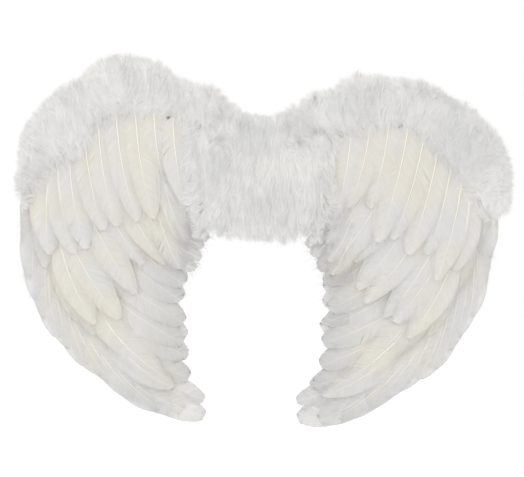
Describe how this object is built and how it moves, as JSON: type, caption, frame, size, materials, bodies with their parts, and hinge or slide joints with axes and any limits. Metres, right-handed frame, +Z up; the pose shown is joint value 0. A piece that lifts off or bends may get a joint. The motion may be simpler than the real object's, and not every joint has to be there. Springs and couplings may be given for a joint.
{
  "type": "feathered costume wings",
  "caption": "Pair of white feathered card wings with down trim, hinged to a centre board with elastic shoulder loops.",
  "frame": {"origin": "middle of the back pad's face, where the wings lie against the wearer's back", "axes": "+X across the pair, to the wearer's right; +Y out of the pad, towards the wearer; +Z up"},
  "size_m": [0.5928, 0.1196, 0.4308],
  "materials": {
    "feather": "white goose flight feather, soft satin",
    "under_feather": "greyer white feather, soft satin",
    "down": "white down, matt",
    "card": "uncoated white card, matt",
    "lining": "non-woven cloth, matt",
    "felt": "pressed felt, matt",
    "cloth_tape": "woven cloth tape, matt",
    "elastic": "ribbed woven elastic",
    "steel_wire": "drawn wire, dull",
    "rivet_metal": "nickel plate",
    "washer_metal": "zinc plate"
  },
  "bodies": {
    "centre": {"centre_board": "card", "back_pad": "felt", "strap_rivets": "rivet_metal", "strap_washers": "washer_metal", "left_shoulder_loop": "elastic", "right_shoulder_loop": "elastic", "left_hinge_tape_inner": "cloth_tape", "right_hinge_tape_inner": "cloth_tape", "centre_upper_down": "down", "centre_middle_down": "down", "centre_lower_down": "down"},
    "left_wing": {"left_wing_board": "card", "left_back_lining": "lining", "left_frame_wire": "steel_wire", "left_wire_tabs": "cloth_tape", "left_hinge_tape_outer": "cloth_tape", "left_under_feathers": "under_feather", "left_tertial_feathers": "feather", "left_primary_feathers": "feather", "left_secondary_feathers": "feather", "left_median_covert_feathers": "feather", "left_greater_covert_feathers": "feather", "left_inner_covert_feathers": "feather", "left_root_down": "down", "left_crest_down": "down", "left_shoulder_down": "down", "left_outer_down": "down"},
    "right_wing": {"right_wing_board": "card", "right_back_lining": "lining", "right_frame_wire": "steel_wire", "right_wire_tabs": "cloth_tape", "right_hinge_tape_outer": "cloth_tape", "right_under_feathers": "under_feather", "right_tertial_feathers": "feather", "right_primary_feathers": "feather", "right_secondary_feathers": "feather", "right_median_covert_feathers": "feather", "right_greater_covert_feathers": "feather", "right_inner_covert_feathers": "feather", "right_root_down": "down", "right_crest_down": "down", "right_shoulder_down": "down", "right_outer_down": "down"}
  },
  "joints": [
    {"name": "left_wing_fold", "type": "hinge", "parent": "centre", "child": "left_wing", "pos_m": [-0.0525, -0.0037, 0.01], "axis": [0, 0, -1], "range_deg": [-20, 90]},
    {"name": "right_wing_fold", "type": "hinge", "parent": "centre", "child": "right_wing", "pos_m": [0.0525, -0.0037, 0.01], "axis": [0, 0, 1], "range_deg": [-20, 90]}
  ]
}
